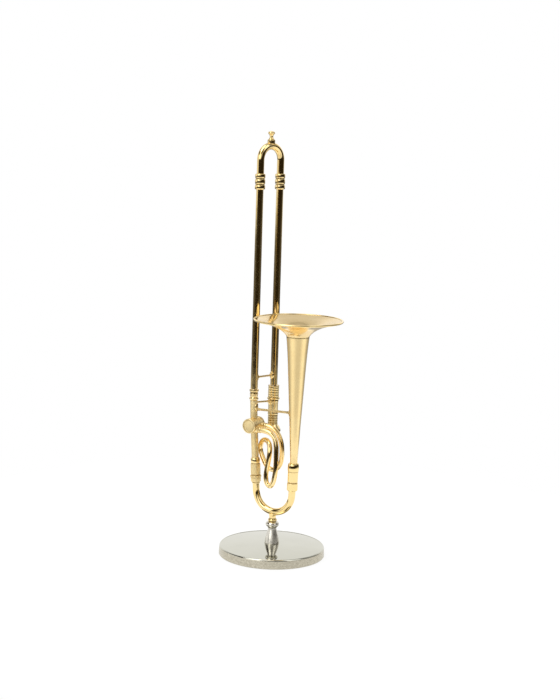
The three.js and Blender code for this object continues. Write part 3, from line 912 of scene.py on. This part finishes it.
def wrap():
    whole = relaxed(spline([PORT_FRONT, *WRAP_FRONT, WRAP_JOIN, *WRAP_REAR, PORT_REAR], 12))
    split = min(range(len(whole)), key=lambda i: (whole[i] - WRAP_JOIN).length)
    front, rear = Axis(whole[: split + 1]), Axis(whole[split:])
    options = {"sides": THIN_SIDES, "step": 0.5, "fillet": 0.06}
    collar_r = WRAP_R + 0.2
    outside = [(WRAP_R, -0.3), (WRAP_R, 0.75), (collar_r, 0.85), (collar_r, 1.5), (WRAP_R, 1.65)]
    outline = sleeve_outline([*outside, (WRAP_R, front.length)], WRAP_BORE)
    stands_for(turned("wrap_front", outline, front, [WRAP_GOLD], **options), "wrap_tube_front")
    end = rear.length
    outside = [(WRAP_R, end - 1.65), (collar_r, end - 1.5), (collar_r, end - 0.85), (WRAP_R, end - 0.75)]
    outline = sleeve_outline([(WRAP_R, 0), *outside, (WRAP_R, end + 0.3)], WRAP_BORE)
    stands_for(turned("wrap_rear", outline, rear, [WRAP_GOLD], **options), "wrap_tube_rear")


# ---- Fixed side of the hand slide ----


RIB_HALF = 0.24
RIB_PITCH = 1.15


def ribs(radius, rise, half, heights):
    """Low rounded ribs round a cylinder, standing at these heights."""
    out = []
    for z in heights:
        out += [(radius, z - half - 0.1), (radius, z - half)]
        out += [(radius + rise * math.cos(math.pi / 2 * k / 3), z + half * k / 3) for k in range(-2, 3)]
        out += [(radius, z + half), (radius, z + half + 0.1)]
    return out


def fixed_slide():
    bore = INNER_R + 0.02
    foot, top = low("cork_barrel_left").z, high("cork_barrel_left").z
    outside = [
        (1.82, foot),
        *ring_arc(1.25, foot + 1.1, 0.92, -62, 62, 10),
        (1.84, foot + 2.25),
        (1.84, foot + 2.9),
        *ring_arc(1.75, foot + 3.3, 0.3, -70, 70, 6),
        (1.84, foot + 3.7),
        (1.84, foot + 4.4),
        (2.17, foot + 4.6),
        (2.17, top - 0.1),
        (2.05, top),
    ]
    outline = sleeve_outline(outside, bore)
    barrel = turned("left_barrel", outline, upright(LEFT_AXIS), [GOLD], fillet=0.07)
    stands_for(barrel, "cork_barrel_left")

    foot, top = low("cork_barrel_right").z, high("cork_barrel_right").z
    body_r = 2.56
    outside = [(2.8, foot), (2.95, foot + 0.15), (2.95, foot + 0.75), (2.8, foot + 0.9)]
    outside += [(body_r, foot + 1.05)]
    outside += ribs(body_r, 0.07, RIB_HALF, [foot + 1.9 + RIB_PITCH * i for i in range(5)])
    outside += [(2.6, top - 0.2), (2.45, top)]
    outline = sleeve_outline(outside, bore)
    barrel = turned("right_barrel", outline, upright(RIGHT_AXIS), [GOLD], fillet=0.07)
    stands_for(barrel, "cork_barrel_right")

    for side, centre in (("left", LEFT_AXIS), ("right", RIGHT_AXIS)):
        node = f"inner_slide_tube_{side}"
        foot, top = low(node).z, high(node).z
        stocking = top - 9  # the tube is a little wider above this
        slim_r = INNER_R - 0.06
        outside = [(slim_r, foot), (slim_r, stocking), (INNER_R, stocking + 0.4), (INNER_R, top)]
        outline = sleeve_outline(outside, INNER_BORE)
        stands_for(turned(f"inner_tube_{side}", outline, upright(centre), [CHROME]), node)


# ---- Mouthpiece and its receiver ----

SHANK_R = 1.3
SHANK_TOP = 69.6


def mouthpiece():
    axis = upright(RIGHT_AXIS)
    foot, top = low("mouthpiece_receiver").z, high("mouthpiece_receiver").z
    outline = [
        (1.1, top + 0.12),
        (1.1, SHANK_TOP + 0.4),
        (SHANK_R + 0.1, SHANK_TOP + 0.4),
        (SHANK_R + 0.1, foot),
        (2.3, foot),
        (2.5, foot + 0.2),
        (2.5, foot + 0.9),
        (2.36, foot + 1.05),
        (2.36, top - 1.2),
        (2.5, top - 1.05),
        (2.5, top + 0.12),
    ]
    stands_for(turned("receiver", outline, axis, [GOLD], sides=WIDE_SIDES), "mouthpiece_receiver")

    rim_z = low("mouthpiece").z
    body_top = foot - 0.1
    cup = [(0.6, 4.9), (1.2, 4.1), (2.2, 2.9), (2.9, 1.3), (3.12, 0.4)]
    cup = curve([(r, rim_z + z) for r, z in cup], 5)
    rim = ring_arc(3.5, rim_z + 0.4, 0.4, 180, 360, 12)
    flank = [(3.9, 0.55), (3.72, 1.5), (3.1, 2.6), (2.5, 3.5), (2.3, 4.0)]
    flank = curve([(r, rim_z + z) for r, z in flank], 5)
    rings = ribs(2.32, 0.09, RIB_HALF, [60.9 + RIB_PITCH * i for i in range(4)])
    outline = [
        (0.6, SHANK_TOP),
        *cup,
        *rim,
        *flank,
        *rings,
        (2.34, body_top),
        (SHANK_R, body_top),
        (SHANK_R - 0.1, SHANK_TOP),
    ]
    piece = turned("cup_and_shank", outline, axis, [GOLD], sides=RING_SIDES, fillet=0.06)
    stands_for(piece, "mouthpiece")


# ---- Moving slide ----


def moving_slide():
    for side, centre in (("left", LEFT_AXIS), ("right", RIGHT_AXIS)):
        node = f"outer_slide_tube_{side}"
        outline = tube_outline(low(node).z, high(node).z, TUBE_R, TUBE_BORE)
        stands_for(turned(f"outer_tube_{side}", outline, upright(centre), [GOLD], step=12), node)

        node = f"bow_ferrule_{side}"
        foot, top = low(node).z, high(node).z
        outside = [(2.0, foot)]
        for start, half in ((0.1, 1.0), (2.6, 1.1), (5.3, 1.0)):
            z = foot + start + half
            outside += [(2.14, z - half), (2.36, z - half + 0.12), (2.42, z)]
            outside += [(2.36, z + half - 0.12), (2.14, z + half)]
        outside += [(2.0, top)]
        outline = sleeve_outline(outside, TUBE_R + 0.01)
        stands_for(turned(f"three_ring_ferrule_{side}", outline, upright(centre), [GOLD]), node)

    top = LEFT_AXIS + ACROSS * SLIDE_HALF
    top.z = high("slide_bow").z - TUBE_R - SLIDE_HALF
    crook = arc_points(top, SLIDE_HALF, ACROSS, Z, math.pi, 0, 60)
    foot = low("slide_bow").z - 0.28
    ends = [Vector((c.x, c.y, foot)) for c in (LEFT_AXIS, RIGHT_AXIS)]
    path = Axis([ends[0], *crook, ends[1]])
    outline = tube_outline(0, path.length, TUBE_R, TUBE_BORE)
    stands_for(turned("crook", outline, path, [GOLD], step=BEND_STEP), "slide_bow")

    foot, tip = low("bumper_knob").z, high("bumper_knob").z
    outline = [
        (0, foot),
        (1.8, foot),
        (1.82, foot + 1.55),
        *ring_arc(1.45, foot + 1.75, 0.36, -20, 85, 6),
        (1.1, foot + 2.5),
        (0.86, foot + 3.1),
        (0.84, foot + 3.6),
        (0.98, foot + 4.05),
        *ring_arc(0.86, tip - 0.9, 0.76, -62, 50, 9),
        (1.0, tip - 0.25),
        (0.6, tip - 0.06),
        (0, tip),
    ]
    finial = turned("finial", outline, upright(top), [GOLD], fillet=0.08)
    boolean(finial, filled(path), "DIFFERENCE")
    stands_for(finial, "bumper_knob")


# ---- Braces ----


FOOT_T = 0.42


def oval_foot(name, node, axis_point, towards, z, tube_r, width=2.6, height=3.6):
    """A thin oval flange curved to its tube, with a rounded edge and a low boss in the middle."""
    rings, round_steps, sunk = 14, 40, -0.05
    side = Z.cross(towards)
    bm = bmesh.new()
    hollow_shade = bm.verts.layers.float.new("hollow_shade")

    def place(share, angle, out):
        across, up = width / 2 * share * math.cos(angle), height / 2 * share * math.sin(angle)
        depth = math.sqrt((tube_r + out) ** 2 - across**2)
        return (axis_point + towards * depth + side * across + Z * (z + up)) * MM

    def skin(share):
        edge = max(0.0, (share - 0.75) / 0.25)
        boss = 0.22 * math.exp(-((share / 0.42) ** 4))
        return FOOT_T * math.sqrt(max(0.0, 1 - edge**2)) + boss

    angles = [2 * math.pi * k / round_steps for k in range(round_steps)]
    levels = [i / rings for i in range(1, rings + 1)]
    centre = bm.verts.new(place(0, 0, skin(0)))
    loops = [[bm.verts.new(place(s, a, skin(s))) for a in angles] for s in levels]
    # Painted shade round the flange's rim, where it meets its tube.
    for vert in loops[-1]:
        vert[hollow_shade] = 0.7
    loops.append([bm.verts.new(place(1.0, a, sunk)) for a in angles])
    for k in range(round_steps):
        bm.faces.new((centre, loops[0][k], loops[0][(k + 1) % round_steps]))
    for a, b in zip(loops, loops[1:]):
        for k in range(round_steps):
            n = (k + 1) % round_steps
            bm.faces.new((a[k], b[k], b[n], a[n]))
    under = bm.verts.new(place(0, 0, sunk))
    for k in range(round_steps):
        bm.faces.new((under, loops[-1][(k + 1) % round_steps], loops[-1][k]))
    stands_for(finished(name, bm, [GOLD]), node)


def rod(name, node, start, end, radius, end_radius):
    """A thin turned rod that swells into a small collar at each end."""
    path = between(start, end)
    near = [
        (end_radius * 1.15, 0.0),
        (end_radius * 1.15, 0.25),
        (end_radius * 0.95, 0.45),
        (radius * 1.12, 1.0),
        (radius, 1.7),
    ]
    far = [(r, path.length - s) for r, s in reversed(near)]
    outline = [(0, 0), *near, *far, (0, path.length)]
    stands_for(turned(name, outline, path, [DARK_REFLECTION_ROD_GOLD], sides=ROD_SIDES, fillet=0.08), node)


def braces():
    left, right, bell_at = (Vector((c.x, c.y, 0)) for c in (LEFT_AXIS, RIGHT_AXIS, BELL_AXIS))
    reach = TUBE_R + FOOT_T  # from a tube's axis to the face of its foot

    z = middle("outer_brace_foot_left").z
    oval_foot("outer_foot_left", "outer_brace_foot_left", left, ACROSS, z, TUBE_R)
    oval_foot("outer_foot_right", "outer_brace_foot_right", right, -ACROSS, z, TUBE_R)
    start, end = left + ACROSS * (reach + 0.1) + Z * z, right - ACROSS * (reach + 0.1) + Z * z
    rod("outer_rod", "outer_slide_brace", start, end, 0.45, 0.62)

    receiver_r = 2.45
    z = middle("inner_brace_foot_right").z
    foot_r = receiver_r - 0.08
    oval_foot("inner_foot_right", "inner_brace_foot_right", right, -ACROSS, z, foot_r, 2.6, 2.3)
    z_left, z_right = 72.4, 72.0
    start = left + ACROSS * (TUBE_R - 0.05) + Z * z_left
    end = right - ACROSS * (receiver_r + FOOT_T) + Z * z_right
    rod("inner_rod", "inner_slide_brace", start, end, 0.45, 0.6)

    z, rise, bell_r = 69.4, 0.6, 2.92
    root = left_foot + left_up * left_at(z)
    root.z = 0
    oval_foot("bell_foot_left", "bell_brace_foot_left", root, X, z + 0.9, TUBE_R, 2.4, 4.2)
    oval_foot("bell_foot_right", "bell_brace_foot_right", bell_at, -X, z + rise, bell_r)
    start, end = root + X * reach + Z * z, bell_at - X * (bell_r + FOOT_T) + Z * (z + rise)
    rod("bell_rod", "bell_brace", start, end, 0.55, 0.7)


# ---- Studio ----

VIEW_AZIMUTH = math.radians(30.66)
VIEW_DROP = math.radians(8.94)
VIEW_ROLL = math.radians(1.81)
CAMERA_AT = Vector((336.77, -566.06, 202.59)) * MM
LENS = 73.34
LONG_SIDE = 36.0

FLOOR_R = 0.2

# Each soft light round the object: its azimuth from the viewer's side and half its width, its
# lowest and highest elevation, its strength, and how softly its sides and its ends fade. The
# angles are in degrees, and the lights add up.
LIGHTS = [
    (180, 42, -3, 50, 0.74, 26, 3),  # backdrop
    (180, 42, 6, 26, 0.3, 26, 9),  # a brighter band across it
    (-94, 12, -2.5, 20, 1.0, 22, 2),  # low on the left
    (-20, 16, 6, 24, 1.15, 14, 5),  # beside the camera
    (18, 10, 12, 24, 0.32, 12, 8),  # faint ones: on the camera's other side
    (0, 40, 27, 56, 0.16, 10, 8),  # above the camera
    (98, 26, 16, 44, 0.32, 22, 6),  # on the right
    (-46, 13, 8, 62, 1.45, 10, 8),  # left soft box
    (56, 14, 34, 62, 1.45, 10, 16),  # right soft box, set higher
    (-110, 10, -90, -4, 0.09, 75, 2),  # the table's glow: to the left
    (115, 10, -90, -4, 0.06, 75, 2),  # to the right
    (180, 80, -90, -10.6, 0.38, 50, 1),  # behind the object
    (0, 50, -90, -11.4, 0.74, 70, 0.6),  # before the object
    (-54, 2, -90, -11.4, 0.32, 50, 0.6),  # brighter under the left soft box
    (74, 2, -90, -11.4, 0.4, 50, 0.6),  # and under the right one
]


def camera():
    """The photograph's camera, with the place, direction, roll and lens that its outlines fit."""
    forward = Vector(
        (
            -math.sin(VIEW_AZIMUTH) * math.cos(VIEW_DROP),
            math.cos(VIEW_AZIMUTH) * math.cos(VIEW_DROP),
            -math.sin(VIEW_DROP),
        )
    )
    level = Vector((math.cos(VIEW_AZIMUTH), math.sin(VIEW_AZIMUTH), 0))
    right = level * math.cos(VIEW_ROLL) + level.cross(forward) * math.sin(VIEW_ROLL)
    up = right.cross(forward)
    data = bpy.data.cameras.new("camera")
    data.lens = LENS
    data.sensor_width = LONG_SIDE
    data.clip_start, data.clip_end = 0.01, 20
    made = bpy.data.objects.new("camera", data)
    turn = Matrix((right, up, -forward)).transposed()
    made.matrix_world = Matrix.Translation(CAMERA_AT) @ turn.to_4x4()
    bpy.context.scene.collection.objects.link(made)
    bpy.context.scene.camera = made


def floor():
    """A round white table that brightens to plain white towards its edge."""
    bm = bmesh.new()
    bmesh.ops.create_circle(bm, cap_ends=True, segments=128, radius=FLOOR_R)
    mesh = bpy.data.meshes.new("floor")
    bm.to_mesh(mesh)
    bm.free()
    table = bpy.data.objects.new("floor", mesh)
    bpy.context.scene.collection.objects.link(table)
    material = bpy.data.materials.new("white_table")
    n = Nodes(material)
    far = n.add("ShaderNodeVectorMath", Vector=n.coordinates())
    far.operation = "LENGTH"
    glow = n.range(far.outputs["Value"], 0.02, 0.1, 0.86, 1.0, smooth=True)
    matt = n.add("ShaderNodeBsdfDiffuse", Color=rgb(0.9, 0.9, 0.9))
    lit = n.add("ShaderNodeEmission", Color=rgb(1, 1, 1), Strength=1.06)
    both = n.tree.nodes.new("ShaderNodeMixShader")
    n.put(both.inputs[0], glow)
    n.put(both.inputs[1], matt.outputs[0])
    n.put(both.inputs[2], lit.outputs[0])
    out = n.tree.nodes.new("ShaderNodeOutputMaterial")
    n.put(out.inputs[0], both.outputs[0])
    mesh.materials.append(material)


def studio_world():
    """A dark room with the soft lights and a pale ceiling, seen in the metal; plain white behind."""
    world = bpy.data.worlds.new("studio")
    bpy.context.scene.world = world
    n = Nodes(world)
    way = n.tree.nodes.new("ShaderNodeTexCoord").outputs["Generated"]
    turn = n.add("ShaderNodeVectorRotate", Vector=way)
    turn.rotation_type = "Z_AXIS"
    turn.inputs["Angle"].default_value = -VIEW_AZIMUTH
    axes = n.add("ShaderNodeSeparateXYZ", Vector=turn.outputs[0]).outputs
    azimuth = n.math("ARCTAN2", axes["X"], n.math("MULTIPLY", axes["Y"], -1))
    height = n.math("ARCSINE", axes["Z"])

    def within(off, half, soft):
        """1 up to this many degrees off, falling to 0 over `soft` degrees more."""
        return n.range(off, math.radians(half), math.radians(half + soft), 1, 0, smooth=True)

    def panel(centre, half, lowest, highest, strength, soft_sides, soft_ends):
        """The brightness of one of the LIGHTS."""
        off = n.math("PINGPONG", n.math("SUBTRACT", azimuth, math.radians(centre)), math.pi)
        rise = n.math("ABSOLUTE", n.math("SUBTRACT", height, math.radians((lowest + highest) / 2)))
        sides = within(off, half, soft_sides)
        ends = within(rise, (highest - lowest) / 2, soft_ends)
        return n.math("MULTIPLY", n.math("MULTIPLY", sides, ends), strength)

    ceiling = n.range(axes["Y"], -0.45, 0.35, 0.26, 0.66, smooth=True)
    parts = [panel(*light) for light in LIGHTS]
    parts.append(n.math("MULTIPLY", ceiling, within(n.math("SUBTRACT", math.pi / 2, height), 30, 12)))
    total = parts[0]
    for part in parts[1:]:
        total = n.math("ADD", total, part)
    room = n.mix(n.math("MINIMUM", total, 1.0), rgb(0.02, 0.014, 0.006), rgb(1, 1, 1))
    strength = n.math("MAXIMUM", total, 1.0)
    seen = n.add("ShaderNodeBackground", Color=rgb(1, 1, 1), Strength=1.0)
    lights = n.add("ShaderNodeBackground", Color=room, Strength=strength)
    both = n.tree.nodes.new("ShaderNodeMixShader")
    n.put(both.inputs[0], n.tree.nodes.new("ShaderNodeLightPath").outputs["Is Camera Ray"])
    n.put(both.inputs[1], lights.outputs[0])
    n.put(both.inputs[2], seen.outputs[0])
    out = n.tree.nodes.new("ShaderNodeOutputWorld")
    n.put(out.inputs[0], both.outputs[0])


def overhead_light():
    """A wide light above and in front, for the faint shadow under the stand."""
    data = bpy.data.lights.new("overhead", "AREA")
    data.size = 0.7
    data.energy = 3
    made = bpy.data.objects.new("overhead", data)
    made.location = (-0.2, -0.3, 1.0)
    made.rotation_euler = (-made.location).to_track_quat("-Z", "Y").to_euler()
    bpy.context.scene.collection.objects.link(made)


stand()
bow()
neck()
bell()
valve()
wrap()
fixed_slide()
mouthpiece()
moving_slide()
braces()
camera()
floor()
studio_world()
overhead_light()
bpy.context.scene.view_settings.view_transform = "Standard"
